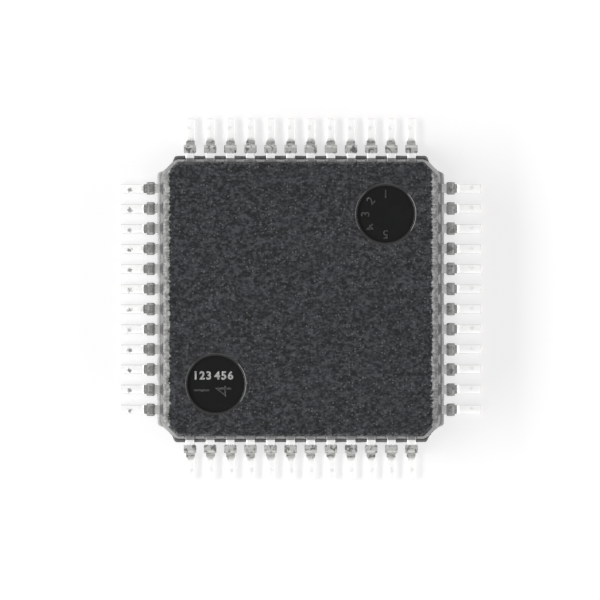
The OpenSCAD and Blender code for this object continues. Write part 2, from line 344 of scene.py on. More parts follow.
def makeMouldCompound():
    material, tree, shader = newMaterial("mouldCompound")
    calc = mathIn(tree)
    look = mouldFinish
    place = addNode(tree, "ShaderNodeTexCoord").outputs["Object"]
    grain = useGroup(tree, grainGroup, vector=place, scale=look["grainScale"],
                     contrast=look["grainContrast"], stretch=look["grainStretch"])
    specks = useGroup(tree, speckGroup, vector=place, scale=look["speckScale"],
                      share=look["speckShare"], size=look["speckSize"])
    clouds = useGroup(tree, blotchGroup, vector=place, scale=look["cloudScale"], cover=look["cloudCover"])
    base = mixColors(tree, grain["Shade"], look["dark"], look["light"])
    base = mixColors(tree, calc("MULTIPLY", clouds["Mask"], look["cloudDepth"]), base, look["light"])
    base = mixColors(tree, specks["Mask"], base, look["speck"])

    # the walls were wiped smoother as they slid out of the mould, and the rim between is chipped and paler,
    # partly edge wear and partly a painted highlight
    axes = addAxes(tree, place)
    fromSheet = calc("ABSOLUTE", calc("SUBTRACT", axes["Z"], (bodyLow.z + bodyHigh.z) / 2 * mm))
    face = (bodyHigh.z - bodyLow.z) / 2
    worn = addRamp(tree, fromSheet, (face - 0.001) * mm, (face - 0.02) * mm)
    wiped = addRamp(tree, fromSheet, (face - 0.04) * mm, (face - 0.10) * mm)
    # paler rim: partly edge wear, partly a painted highlight
    chippedRimSheen = calc("MULTIPLY", calc("SUBTRACT", worn, wiped, clamp=True), grain["Shade"])
    base = mixColors(tree, chippedRimSheen, base, look["worn"])
    # a painted highlight along the rims of the X sides, ragged with the grain
    wander = calc("MULTIPLY", calc("SUBTRACT", grain["Height"], 0.5), look["paintedRimHighlightRagged"] * mm)
    paintedRimHighlight = addRamp(tree, calc("ADD", calc("ABSOLUTE", axes["X"]), wander),
                     look["paintedRimHighlightFrom"] * mm, look["paintedRimHighlightTo"] * mm)
    paintedRimHighlight = calc("MULTIPLY", paintedRimHighlight, calc("ADD", calc("MULTIPLY", grain["Shade"], 0.6), 0.4))
    base = mixColors(tree, paintedRimHighlight, base, look["paintedRimHighlight"])

    where = useGroup(tree, sideGroup, vector=place)
    # painted light: the walls of the X sides are paler than those of the Y sides
    wall = mixColors(tree, where["OnX"], look["wallDark"], look["wallPaintedLit"])
    wall = mixColors(tree, calc("MULTIPLY", grain["Shade"], 0.2), wall, look["dark"])
    # painted light: the X-side walls are paler low down by the web
    foot = calc("MULTIPLY", addRamp(tree, fromSheet, 0.22 * mm, 0.08 * mm), where["OnX"])
    wall = mixColors(tree, foot, wall, look["wallFootPaintedLight"])
    base = mixColors(tree, wiped, base, wall)
    # painted shade on the wall over each lead, standing in for the lead's dark reflection there
    overLeadShade = calc("MULTIPLY", where["OverLead"],
                addRamp(tree, fromSheet, (face - 0.04) * mm, (face - 0.12) * mm))
    base = mixColors(tree, calc("MULTIPLY", overLeadShade, 0.9), base, look["wallPaintedShade"])
    tree.links.new(base, shader.inputs["Base Color"])

    rough = addRange(tree, worn, look["topRoughness"], look["rimRoughness"])
    rough = addRange(tree, wiped, rough, look["wallRoughness"])
    rough = addRange(tree, overLeadShade, rough, look["dullRoughness"])
    tree.links.new(calc("SUBTRACT", rough, calc("MULTIPLY", grain["Shade"], 0.1)),
                   shader.inputs["Roughness"])
    relief = calc("MULTIPLY", grain["Height"], calc("SUBTRACT", 1.0, calc("MULTIPLY", wiped, 0.85)))
    addBump(tree, shader, relief, look["grainBump"], look["grainDepth"])
    shader.inputs["Specular IOR Level"].default_value = look["specularLevel"]
    return material


polishedFinish = {
    "dark": (0.0118, 0.0124, 0.0124, 1.0),
    "light": (0.0132, 0.0138, 0.0138, 1.0),
    "roughness": 0.045,
    "cloudScale": 2600.0,
    "grainScale": 9000.0,
    "grainDepth": 0.0006,       # mm
}


# the glass-smooth resin that a polished ejector pin leaves
def makePolishedCompound():
    material, tree, shader = newMaterial("polishedCompound")
    calc = mathIn(tree)
    place = addNode(tree, "ShaderNodeTexCoord").outputs["Object"]
    clouds = useGroup(tree, blotchGroup, vector=place, scale=polishedFinish["cloudScale"], cover=0.6)
    tree.links.new(mixColors(tree, clouds["Mask"], polishedFinish["dark"], polishedFinish["light"]),
                   shader.inputs["Base Color"])
    tree.links.new(calc("ADD", calc("MULTIPLY", clouds["Mask"], 0.02), polishedFinish["roughness"]),
                   shader.inputs["Roughness"])
    grain = useGroup(tree, grainGroup, vector=place, scale=polishedFinish["grainScale"])
    addBump(tree, shader, grain["Height"], 0.12, polishedFinish["grainDepth"])
    return material


flashFinish = {
    "dark": (0.10, 0.10, 0.098, 1.0),
    "light": (0.24, 0.24, 0.235, 1.0),
    "paintedLitDarkX": (0.45, 0.45, 0.44, 1.0),       # painted light: paler on the X sides
    "paintedLitLightX": (0.72, 0.72, 0.70, 1.0),
    "roughness": 0.30,
    "cloudScale": 5200.0,
    "grainScale": 16000.0,
    "grainDepth": 0.006,        # mm
}


# the resin-rich skin of the web between the leads
def makeFlashResin():
    material, tree, shader = newMaterial("flashResin")
    calc = mathIn(tree)
    place = addNode(tree, "ShaderNodeTexCoord").outputs["Object"]
    clouds = useGroup(tree, blotchGroup, vector=place, scale=flashFinish["cloudScale"], cover=0.6)
    grain = useGroup(tree, grainGroup, vector=place, scale=flashFinish["grainScale"])
    mixed = calc("ADD", calc("MULTIPLY", clouds["Mask"], 0.55), calc("MULTIPLY", grain["Shade"], 0.35),
                 clamp=True)
    onX = useGroup(tree, sideGroup, vector=place)["OnX"]
    # painted light: the web on the X sides is paler than on the Y sides
    base = mixColors(tree, onX, mixColors(tree, mixed, flashFinish["dark"], flashFinish["light"]),
                     mixColors(tree, mixed, flashFinish["paintedLitDarkX"], flashFinish["paintedLitLightX"]))
    tree.links.new(base, shader.inputs["Base Color"])
    tree.links.new(calc("ADD", calc("MULTIPLY", clouds["Mask"], 0.2), flashFinish["roughness"]),
                   shader.inputs["Roughness"])
    addBump(tree, shader, grain["Height"], 0.5, flashFinish["grainDepth"])
    return material


figureFinish = {
    "grainScale": 26000.0,
    "grainDepth": 0.003,        # mm
    "glintScale": 9000.0,
    "glintCover": 0.30,
}


# the moulded figures, whose faces are a little rougher than the floor that they stand on
def makeRaisedFigures(name, dark, light, glint, roughness):
    material, tree, shader = newMaterial(name)
    calc = mathIn(tree)
    place = addNode(tree, "ShaderNodeTexCoord").outputs["Object"]
    grain = useGroup(tree, grainGroup, vector=place, scale=figureFinish["grainScale"])
    glints = useGroup(tree, blotchGroup, vector=place, scale=figureFinish["glintScale"],
                      cover=figureFinish["glintCover"])
    base = mixColors(tree, grain["Shade"], dark, light)
    # the glints are painted highlights
    tree.links.new(mixColors(tree, glints["Mask"], base, glint), shader.inputs["Base Color"])
    tree.links.new(calc("ADD", calc("MULTIPLY", grain["Shade"], 0.15), roughness),
                   shader.inputs["Roughness"])
    addBump(tree, shader, grain["Height"], 0.4, figureFinish["grainDepth"])
    return material


# lengths in mm, scales per mm
tinFinish = {
    "plated": (0.99, 0.988, 0.982, 1.0),
    "platedMetallic": 0.92,
    "platedRoughness": 0.36,
    "rootPaintedShade": (0.50, 0.50, 0.49, 1.0),       # painted shade on the roots of the two X sides
    "worked": (0.42, 0.42, 0.41, 1.0),      # scraped dull by the forming tool
    "workedDarker": (0.12, 0.12, 0.117, 1.0),
    "workedMetallic": 0.95,
    "workedRoughness": 0.58,
    "wornFade": 0.15,                       # over which the rubbing fades on the foot
    "paintedCrestHighlight": (0.66, 0.66, 0.65, 1.0),       # a painted highlight across the crest of the upper bend
    "paintedCrestHighlightDim": (0.30, 0.30, 0.295, 1.0),
    "stain": (0.09, 0.09, 0.085, 1.0),
    "stainScale": 9.0,
    "stainCover": 0.56,
    "crystalScale": 30.0,
    "crystal": (0.5, 0.5, 0.49, 1.0),
    "fleck": (0.45, 0.45, 0.44, 1.0),
    "fleckScale": 26.0,
    "fleckCover": 0.32,
    "sheared": (0.30, 0.30, 0.29, 1.0),     # the punched edges and the cut toe
    "copper": (0.62, 0.36, 0.24, 1.0),      # bare at the cut toe
    "footSpot": (0.16, 0.16, 0.155, 1.0),
    "footSpotPlace": 0.30,                     # past the lower bend
    "footSpotLength": 0.070,
    "footSpotWidth": 0.060,
    "footSpotAside": 0.03,
    "bumpDepth": 0.005,
}


def makeTinPlate(route):
    material, tree, shader = newMaterial("tinPlate")
    calc = mathIn(tree)
    look = tinFinish
    run, across, rise, bare, tone, footSpotStrength, sidePaintedShade, wornTo = (
        addAttribute(tree, name) for name in
        ("run", "across", "rise", "bare", "leadTone", "footSpotStrength", "sidePaintedShade", "wornTo"))
    shift = calc("ADD", calc("MULTIPLY", tone, 97.0), rise)     # no two leads share a pattern
    place = addNode(tree, "ShaderNodeCombineXYZ", {"X": across, "Y": run, "Z": shift}).outputs[0]
    streaks = useGroup(tree, streakGroup, vector=place)
    stains = useGroup(tree, blotchGroup, vector=place, scale=look["stainScale"], cover=look["stainCover"])
    flecks = useGroup(tree, blotchGroup, vector=place, scale=look["fleckScale"], cover=look["fleckCover"])
    cells = addNode(tree, "ShaderNodeTexVoronoi", {"Vector": place, "Scale": look["crystalScale"]})
    crystal = addNode(tree, "ShaderNodeSeparateColor", {"Color": cells.outputs["Color"]}).outputs["Red"]

    # the tool rubbed the stub, the bend and the riser; the root and the foot keep their plating
    ragged = calc("ADD", run, calc("MULTIPLY", calc("SUBTRACT", streaks["Height"], 0.5), 0.05))
    past = addRamp(tree, ragged, route["firstBend"] - 0.01, route["firstBend"] + 0.02)
    bowed = calc("ADD", ragged, calc("MULTIPLY", calc("POWER", across, 4.0), 500.0))
    pastRiser = calc("SUBTRACT", calc("SUBTRACT", bowed, route["riserEnd"]), wornTo)
    worked = calc("MULTIPLY", past, addRamp(tree, pastRiser, 0.0, -look["wornFade"]))
    nearCrest = calc("ABSOLUTE", calc("SUBTRACT", run, route["riserStart"] - 0.05))
    # painted highlight along the crest of the upper bend
    paintedCrestHighlight = calc("MULTIPLY", addRamp(tree, nearCrest, 0.06, 0.015), 0.85)
    # painted shade: the leads of the two X sides are darker here, the west the most
    base = mixColors(tree, sidePaintedShade, look["worked"], look["workedDarker"])
    base = mixColors(tree, paintedCrestHighlight, base, mixColors(tree, sidePaintedShade, look["paintedCrestHighlight"], look["paintedCrestHighlightDim"]))
    base = mixColors(tree, calc("MULTIPLY", stains["Mask"], 0.85), base, look["stain"])
    # painted shade on the roots of the X-side leads
    atRoot = addRamp(tree, run, route["firstBend"] + 0.1, route["firstBend"])
    rootShaded = calc("MULTIPLY", calc("GREATER_THAN", sidePaintedShade, 0.5), atRoot)
    base = mixColors(tree, worked, mixColors(tree, rootShaded, look["plated"], look["rootPaintedShade"]), base)
    base = mixColors(tree, calc("MULTIPLY", crystal, 0.02), base, look["crystal"])
    base = mixColors(tree, calc("MULTIPLY", flecks["Mask"], 0.18), base, look["fleck"])
    edge = lead["width"] / 2
    sheared = calc("MAXIMUM", addRamp(tree, calc("ABSOLUTE", across), edge - 0.016, edge - 0.002),
                   addRamp(tree, run, route["toe"] - 0.03, route["toe"] - 0.012))
    # the cut edges are darker still on the X sides, painted shade
    shearedDepth = calc("ADD", calc("MULTIPLY", sidePaintedShade, 0.35), 0.15)
    base = mixColors(tree, calc("MULTIPLY", sheared, shearedDepth), base, look["sheared"])

    # a darker spot on each foot, strongest on the west row
    fromFootSpot = calc("DIVIDE", calc("SUBTRACT", run, route["footStart"] + look["footSpotPlace"]),
                     look["footSpotLength"])
    offCentre = calc("DIVIDE", calc("SUBTRACT", across, look["footSpotAside"]), look["footSpotWidth"])
    distance = calc("SQRT", calc("ADD", calc("MULTIPLY", fromFootSpot, fromFootSpot),
                                 calc("MULTIPLY", offCentre, offCentre)))
    outline = addNode(tree, "ShaderNodeTexNoise", {"Vector": place, "Scale": 22.0, "Detail": 2.0})
    distance = calc("ADD", distance,
                    calc("MULTIPLY", calc("SUBTRACT", outline.outputs["Fac"], 0.5), 2.4))
    footSpotMask = calc("MULTIPLY", addRamp(tree, distance, 1.15, 0.35), calc("GREATER_THAN", rise, 0.0))
    base = mixColors(tree, calc("MULTIPLY", footSpotMask, footSpotStrength), base, look["footSpot"])

    shade = calc("ADD", 0.98, calc("MULTIPLY", tone, 0.02))
    dim = addNode(tree, "ShaderNodeCombineColor", {"Red": shade, "Green": shade, "Blue": shade}).outputs[0]
    base = mixColors(tree, 1.0, base, dim, "MULTIPLY")
    tree.links.new(mixColors(tree, bare, base, look["copper"]), shader.inputs["Base Color"])
    rough = addRange(tree, worked, look["platedRoughness"], look["workedRoughness"])
    tree.links.new(calc("ADD", rough, calc("MULTIPLY", streaks["Shade"], 0.12)), shader.inputs["Roughness"])
    # matte plating scatters like a pale powder, rubbed tin like a metal
    metal = addRange(tree, calc("MAXIMUM", worked, bare), look["platedMetallic"], look["workedMetallic"])
    tree.links.new(metal, shader.inputs["Metallic"])
    height = calc("ADD", calc("MULTIPLY", streaks["Height"], 0.65), calc("MULTIPLY", crystal, 0.35))
    addBump(tree, shader, height, 0.45, look["bumpDepth"])
    return material


# finishes of the pieces sealed inside: colour, streaked colour, metallic, roughness
innerFinishes = {
    "die_paddle": ("leadframeAlloy", (0.74, 0.46, 0.31, 1.0), (0.62, 0.36, 0.23, 1.0), 1.0, 0.32),
    "die_attach": ("dieAdhesive", (0.55, 0.55, 0.54, 1.0), (0.40, 0.40, 0.39, 1.0), 0.4, 0.5),
    "silicon_die": ("silicon", (0.11, 0.11, 0.13, 1.0), (0.08, 0.085, 0.12, 1.0), 0.7, 0.12),
    "bond_wires": ("goldWire", (0.91, 0.66, 0.25, 1.0), (0.82, 0.56, 0.20, 1.0), 1.0, 0.18),
}


def makeInnerFinish(name, plain, streaked, metallic, roughness):
    material, tree, shader = newMaterial(name)
    calc = mathIn(tree)
    place = addNode(tree, "ShaderNodeTexCoord").outputs["Object"]
    streaks = useGroup(tree, streakGroup, vector=place, across=30000.0, along=4000.0)
    stains = useGroup(tree, blotchGroup, vector=place, scale=1500.0, cover=0.4)
    mixed = calc("ADD", calc("MULTIPLY", streaks["Shade"], 0.5), calc("MULTIPLY", stains["Mask"], 0.4),
                 clamp=True)
    tree.links.new(mixColors(tree, mixed, plain, streaked), shader.inputs["Base Color"])
    tree.links.new(calc("ADD", calc("MULTIPLY", mixed, 0.12), roughness), shader.inputs["Roughness"])
    shader.inputs["Metallic"].default_value = metallic
    addBump(tree, shader, streaks["Height"], 0.3, 0.002)
    return material


# the sealed CAD solids keep their shape and get their finish
for key, finish in innerFinishes.items():
    innerMaterial = makeInnerFinish(*finish)
    for nodeName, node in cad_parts.items():
        if nodeName.startswith(key):
            for holder in node.material_slots:
                holder.material = innerMaterial
print("inner pieces finished")


lead = {
    "pitch": 0.5,
    "width": 0.22,
    "thickness": 0.127,
    "shoulder": 0.11,           # flat length before the first bend
    "bendRadius": 0.08,         # inside
    "riserLean": 8.0,           # degrees from upright
    "stubWidth": 0.31,
    "stubDrop": 0.09,
    "fingerTip": 2.45,          # from the middle of the chip
    "fingerWidth": 0.18,
    "fingerRoot": 0.2,          # straight length inside the body's wall
    "tieBarGap": 0.17,
    "tieBarWidth": 0.2,
    "flashReach": 0.06,
    "edgeRounding": 0.016,
    "bendSteps": 12,
    "cornerSteps": 3,
    "toneSeed": 11,
}
halfBody = bodyHigh.x - lead["flashReach"]
toeX = frontHigh.x
sheetTop = frontHigh.z
sheetBottom = sheetTop - lead["thickness"]
countPerSide = len(leadNames) // len(sides)


# the middle line of the sheet seen from the side: (x, z, normal x, normal z, width, run)
def leadRoute():
    half = lead["thickness"] / 2
    lean = lead["riserLean"]
    middle = lead["bendRadius"] + half
    bendX = halfBody + lead["shoulder"]
    upper = (bendX, sheetBottom - lead["bendRadius"])
    normal = (math.cos(math.radians(lean)), math.sin(math.radians(lean)))
    sink = (normal[1], -normal[0])
    drop = upper[1] + 2 * middle * normal[1] - 2 * half - lead["bendRadius"]
    riser = drop / math.cos(math.radians(lean))
    lower = (upper[0] + 2 * middle * normal[0] + riser * sink[0],
             upper[1] + 2 * middle * normal[1] + riser * sink[1])
    zMiddle = sheetTop - half
    noseLength = math.sqrt(lead["stubWidth"] ** 2 - lead["width"] ** 2) / 2

    # width of the nose of the dam-bar stub, which is part of a circle in plan
    def noseWidth(x):
        back = bendX + noseLength - x
        inside = (lead["stubWidth"] / 2) ** 2 - max(back, 0.0) ** 2
        return 2 * math.sqrt(max(inside, (lead["width"] / 2) ** 2))

    points = []
    rootX = halfBody - lead["fingerRoot"]
    for i in range(7):
        share = i / 6
        x = lead["fingerTip"] + (rootX - lead["fingerTip"]) * share
        width = lead["fingerWidth"] + (lead["width"] - lead["fingerWidth"]) * share
        points.append((x, zMiddle, 0.0, 1.0, width))
    for share in (0.5, 0.9, 1.0):
        points.append((rootX + (bendX - rootX) * share, zMiddle, 0.0, 1.0, lead["width"]))
    steps = lead["bendSteps"]
    for i in range(1, steps + 1):
        a = math.radians(90 - (90 - lean) * i / steps)
        x = upper[0] + middle * math.cos(a)
        outerX = upper[0] + (middle + half) * math.cos(a)
        points.append((x, upper[1] + middle * math.sin(a), math.cos(a), math.sin(a), noseWidth(outerX)))
    start = (upper[0] + middle * normal[0], upper[1] + middle * normal[1])
    stubEnd = lead["stubDrop"] / riser
    slant = 0.018 / riser       # of the eased step below the stub
    spare = lead["stubWidth"] - lead["width"]
    for down, left in ((-0.5, 1.0), (0.0, 0.93), (0.5, 0.78), (1.0, 0.5), (1.5, 0.25), (2.2, 0.09),
                       (3.2, 0.0), (18.0, 0.0)):
        share, width = stubEnd + down * slant, lead["width"] + spare * left
        points.append((start[0] + riser * sink[0] * share, start[1] + riser * sink[1] * share,
                       normal[0], normal[1], width))
    for i in range(steps + 1):
        a = math.radians(180 + lean + (90 - lean) * i / steps)
        points.append((lower[0] + middle * math.cos(a), lower[1] + middle * math.sin(a),
                       -math.cos(a), -math.sin(a), lead["width"]))
    for share in (0.3, 0.65, 0.96, 1.0):
        points.append((lower[0] + (toeX - lower[0]) * share, half, 0.0, 1.0, lead["width"]))

    run = -(halfBody - lead["fingerTip"])
    routed = []
    for i, point in enumerate(points):
        if i:
            run += math.hypot(point[0] - points[i - 1][0], point[1] - points[i - 1][1])
        routed.append((*point, run))
    bend = math.radians(90 - lean) * middle
    marks = {"firstBend": lead["shoulder"], "riserStart": lead["shoulder"] + bend, "toe": run}
    marks["riserEnd"] = marks["riserStart"] + riser
    marks["footStart"] = marks["riserEnd"] + bend
    return routed, marks


# rounded section of the sheet, as (across, along the normal)
def sheetSection(width, thickness, rounding):
    section = []
    corners = ((1, 1, 0), (-1, 1, 90), (-1, -1, 180), (1, -1, 270))
    for right, up, turn in corners:
        centre = (right * (width / 2 - rounding), up * (thickness / 2 - rounding))
        section += arcPoints(centre, rounding, turn, turn + 90, lead["cornerSteps"])
    return section


def makeOneLead(route):
    rings, runs, acrosses, rises, bares = [], [], [], [], []
    stations = [(p, 0.0) for p in route]
    rounding = lead["edgeRounding"]
    last = route[-1]
    stations[-1] = ((last[0] - rounding, *last[1:]), 0.0)
    stations += [((last[0] - rounding * 0.3, *last[1:]), rounding * 0.3), (last, rounding),
                 (last, rounding + 0.006)]
    for (x, z, nx, nz, width, run), shrink in stations:
        section = sheetSection(width - 2 * shrink, lead["thickness"] - 2 * shrink,
                               max(rounding - shrink * 0.6, 0.004))
        rings.append([(x + nx * up, across, z + nz * up) for across, up in section])
        runs += [run] * len(section)
        acrosses += [across for across, up in section]
        rises += [up for across, up in section]
        bares += [1.0 if shrink > rounding else 0.0] * len(section)
    verts, faces = loftRings(rings)
    obj = newObject("leads", verts, faces)
    for name, values in (("run", runs), ("across", acrosses), ("rise", rises), ("bare", bares)):
        attribute = obj.data.attributes.new(name, "FLOAT", "POINT")
        attribute.data.foreach_set("value", values)
    obj.data.update()
    turnOutward(obj.data)
    smoothShade(obj, 50)
    return obj


# the tree that lays a row of leads, fans their fingers and turns the row to all four sides
def leadRowsTree():
    tree = bpy.data.node_groups.new("leadRows", "GeometryNodeTree")
    sockets = {}
    for label, kind in (("Geometry", "NodeSocketGeometry"), ("Count", "NodeSocketInt"),
                        ("Pitch", "NodeSocketFloat"), ("Finger Pitch", "NodeSocketFloat"),
                        ("Root X", "NodeSocketFloat"), ("Tip X", "NodeSocketFloat"),
                        ("Seed", "NodeSocketInt"), ("Metal", "NodeSocketMaterial")):
        sockets[label] = tree.interface.new_socket(label, in_out="INPUT", socket_type=kind).identifier
    tree.interface.new_socket("Geometry", in_out="OUTPUT", socket_type="NodeSocketGeometry")
    given = tree.nodes.new("NodeGroupInput").outputs

    calc = mathIn(tree)

    def vector(**parts):
        return addNode(tree, "ShaderNodeCombineXYZ", parts).outputs[0]

    def store(geometry, name, value, kind="FLOAT", domain="POINT"):
        node = addNode(tree, "GeometryNodeStoreNamedAttribute", {"Geometry": geometry, "Name": name},
                       data_type=kind, domain=domain)
        tree.links.new(value, node.inputs["Value"])
        return node.outputs["Geometry"]

    def read(name):
        return addNode(tree, "GeometryNodeInputNamedAttribute", {"Name": name},
                       data_type="FLOAT").outputs["Attribute"]

    def row(count, offset):
        start = addNode(tree, "ShaderNodeVectorMath", {0: offset, "Scale": calc(
            "MULTIPLY", calc("SUBTRACT", count, 1.0), -0.5)}, operation="SCALE").outputs[0]
        return addNode(tree, "GeometryNodeMeshLine",
                       {"Count": count, "Start Location": start, "Offset": offset}).outputs["Mesh"]

    index = addNode(tree, "GeometryNodeInputIndex").outputs["Index"]
    stations = store(row(given["Count"], vector(Y=given["Pitch"])), "station", index)
    oneRow = addNode(tree, "GeometryNodeInstanceOnPoints",
                     {"Points": stations, "Instance": given["Geometry"]}).outputs["Instances"]
    oneRow = addNode(tree, "GeometryNodeRealizeInstances", {"Geometry": oneRow}).outputs["Geometry"]

    # inside the body the fingers fan in from the leads' pitch to their own
    x = addAxes(tree, addNode(tree, "GeometryNodeInputPosition").outputs[0])["X"]
    share = addNode(tree, "ShaderNodeMapRange",
                    {"Value": x, "From Min": given["Root X"], "From Max": given["Tip X"]}).outputs["Result"]
    middleStation = calc("MULTIPLY", calc("SUBTRACT", given["Count"], 1.0), 0.5)
    fromMiddle = calc("SUBTRACT", read("station"), middleStation)
    pull = calc("MULTIPLY", calc("SUBTRACT", given["Finger Pitch"], given["Pitch"]), fromMiddle)
    oneRow = addNode(tree, "GeometryNodeSetPosition",
                     {"Geometry": oneRow, "Offset": vector(Y=calc("MULTIPLY", pull, share))}).outputs[0]

    middle = addNode(tree, "GeometryNodeMeshLine", {"Count": len(sides)})
    middle.inputs["Offset"].default_value = (0.0, 0.0, 0.0)
    fourPoints = store(middle.outputs["Mesh"], "side", index)
    turn = calc("MULTIPLY", calc("SUBTRACT", index, 1.0), math.pi / 2)
    around = addNode(tree, "GeometryNodeInstanceOnPoints",
                     {"Points": fourPoints, "Instance": oneRow, "Rotation": vector(Z=turn)})
    allRows = addNode(tree, "GeometryNodeRealizeInstances",
                      {"Geometry": around.outputs["Instances"]}).outputs["Geometry"]
    number = calc("ADD", calc("MULTIPLY", read("side"), given["Count"]), read("station"))
    tone, spotRandom = (
        addNode(tree, "FunctionNodeRandomValue", {"ID": number, "Seed": seed},
                data_type="FLOAT").outputs["Value"]
        for seed in (given["Seed"], calc("ADD", given["Seed"], 1.0)))
    allRows = store(allRows, "leadTone", tone)
    # painted shade on the leads of the two X sides, whose rubbed zone is also shorter
    eastOrWest = calc("MODULO", read("side"), 2.0)
    sideShade = calc("MULTIPLY", eastOrWest, calc("ADD", calc("MULTIPLY", read("side"), 0.15), 0.55))
    allRows = store(allRows, "sidePaintedShade", sideShade)
    shorter = calc("MULTIPLY", eastOrWest, calc("SUBTRACT", 0.19, calc("MULTIPLY", read("side"), 0.04)))
    reach = calc("ADD", calc("SUBTRACT", 0.28, shorter), calc("MULTIPLY", tone, 0.04))
    allRows = store(allRows, "wornTo", reach)
    # the darker foot spot is strongest on the west row
    lastSide = calc("GREATER_THAN", read("side"), len(sides) - 1.5)
    weight = calc("ADD", calc("MULTIPLY", lastSide, 0.6), 0.15)
    spotStrength = calc("ADD", calc("MULTIPLY", spotRandom, 0.5), 0.75)
    allRows = store(allRows, "footSpotStrength", calc("MULTIPLY", spotStrength, weight))
    finished = addNode(tree, "GeometryNodeSetMaterial", {"Geometry": allRows, "Material": given["Metal"]})
    tree.links.new(finished.outputs["Geometry"], tree.nodes.new("NodeGroupOutput").inputs["Geometry"])
    return tree, sockets


def makeLeads():
    route, marks = leadRoute()
    leads = makeOneLead(route)
    tree, sockets = leadRowsTree()
    tipRow = (2 * lead["fingerTip"] - math.sqrt(2) * (lead["tieBarWidth"] + 2 * lead["tieBarGap"])
              - lead["fingerWidth"])
    rows = leads.modifiers.new("rows", "NODES")
    rows.node_group = tree
    settings = {
        "Count": countPerSide,
        "Pitch": lead["pitch"] * mm,
        "Finger Pitch": tipRow / (countPerSide - 1) * mm,
        "Root X": (halfBody - lead["fingerRoot"]) * mm,
        "Tip X": lead["fingerTip"] * mm,
        "Seed": lead["toneSeed"],
        "Metal": makeTinPlate(marks),
    }
    for label, value in settings.items():
        rows[sockets[label]] = value
    applyModifiers(leads)
    return leads


leads = makeLeads()
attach(leads, "root")
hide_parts(*leadNames)
print("leads made:", len(leads.data.polygons), "faces")


body = {
    "chamfer": 0.42,
    "draft": 10.0,
    "rimRadius": 0.11,
    "edgeRadius": 0.1,
    "rimSteps": 10,
    "cornerSteps": 6,
    "sideSteps": 96,
    "chamferSteps": 30,
    "flashThinner": 0.004,      # how far the web stays below the sheet's faces
    "flashRounding": 0.040,
    "flashWander": 0.010,
    "flashBreak": 0.26,
    "flashRunout": 0.14,
    "markDiameter": 1.5,
    "markDepth": 0.08,
    "markTaper": 0.03,
    "markInset": 1.4,
    "markCorner": 0.010,
    "markMouth": 0.040,         # width of the worn slope round the mouth
    "markMouthSlope": 30.0,
    "markSteps": 128,
}
markCentre = halfBody - body["markInset"]


# outline of the body moved in by `inset`, dense enough for the web's ragged edge
def bodyOutline(inset):
    chamferDistance = (2 * halfBody - body["chamfer"]) / math.sqrt(2)
    corners = []
    radius = body["edgeRadius"]
    for turn in range(8):
        near = (halfBody if turn % 2 == 0 else chamferDistance) - inset - radius
        far = (chamferDistance if turn % 2 == 0 else halfBody) - inset - radius
        angle = math.radians(45 * turn)
        along = (far - near * math.cos(math.pi / 4)) / math.sin(math.pi / 4)
        centre = (near * math.cos(angle) - along * math.sin(angle),
                  near * math.sin(angle) + along * math.cos(angle))
        corners.append(arcPoints(centre, radius, 45 * turn, 45 * (turn + 1), body["cornerSteps"]))
    outline = []
    for turn, corner in enumerate(corners):
        start = corners[turn - 1][-1]
        steps = body["sideSteps"] if turn % 2 == 0 else body["chamferSteps"]
        for i in range(1, steps):
            outline.append(tuple(a + (b - a) * i / steps for a, b in zip(start, corner[0])))
        outline += corner
    return outline


# how far the web's edge falls short of its full reach at a place on the outline
def flashShortfall(x, y):
    wave = noise.noise(Vector((x * 3.1, y * 3.1, 4.0))) + 0.5 * noise.noise(Vector((x * 11, y * 11, 9.0)))
    ragged = body["flashWander"] * min(max(0.5 + wave, 0.0), 1.0)
    # and it runs out towards the break in the middle of each chamfer
    fromBreak = abs(abs(x) - abs(y)) / math.sqrt(2)
    share = min(max((fromBreak - body["flashBreak"] / 2) / body["flashRunout"], 0.0), 1.0)
    return ragged + (lead["flashReach"] - 0.012) * (1 - share * share * (3 - 2 * share))


def bodyRings():
    radius, draft = body["rimRadius"], math.radians(body["draft"])
    height = (bodyHigh.z - bodyLow.z - lead["thickness"]) / 2
    rise = height - radius + radius * math.sin(draft)
    rimInset = rise * math.tan(draft) + radius * math.cos(draft)
    rims = []
    for i in range(body["rimSteps"] + 1):
        a = draft + (math.pi / 2 - draft) * i / body["rimSteps"]
        rims.append((rimInset - radius * math.cos(a), height - radius * (1 - math.sin(a))))
    wall = [(share * rims[0][0], share * rims[0][1]) for share in (0.0, 0.15, 0.5)]
    levels = wall + rims
    rings = [[(*p, sheetBottom - up) for p in bodyOutline(inset)] for inset, up in reversed(levels)]
    thin, soft = body["flashThinner"], body["flashRounding"]
    webLow, webHigh = sheetBottom + thin, sheetTop - thin
    plain, full = bodyOutline(0.0), bodyOutline(-lead["flashReach"])
    rings.append([(*p, webLow) for p in plain])
    round45 = soft * (1 - math.cos(math.radians(45)))
    for pullBack, z in ((soft, webLow), (round45, webLow + round45), (0.0, webLow + soft),
                        (0.0, webHigh - soft), (round45, webHigh - round45), (soft, webHigh)):
        ring = []
        for (x, y), (fullX, fullY) in zip(plain, full):
            share = 1 - (pullBack + flashShortfall(x, y)) / lead["flashReach"]
            ring.append((x + (fullX - x) * share, y + (fullY - y) * share, z))
        rings.append(ring)
    rings.append([(*p, webHigh) for p in plain])
    rings += [[(*p, sheetTop + up) for p in bodyOutline(inset)] for inset, up in levels]
    return rings


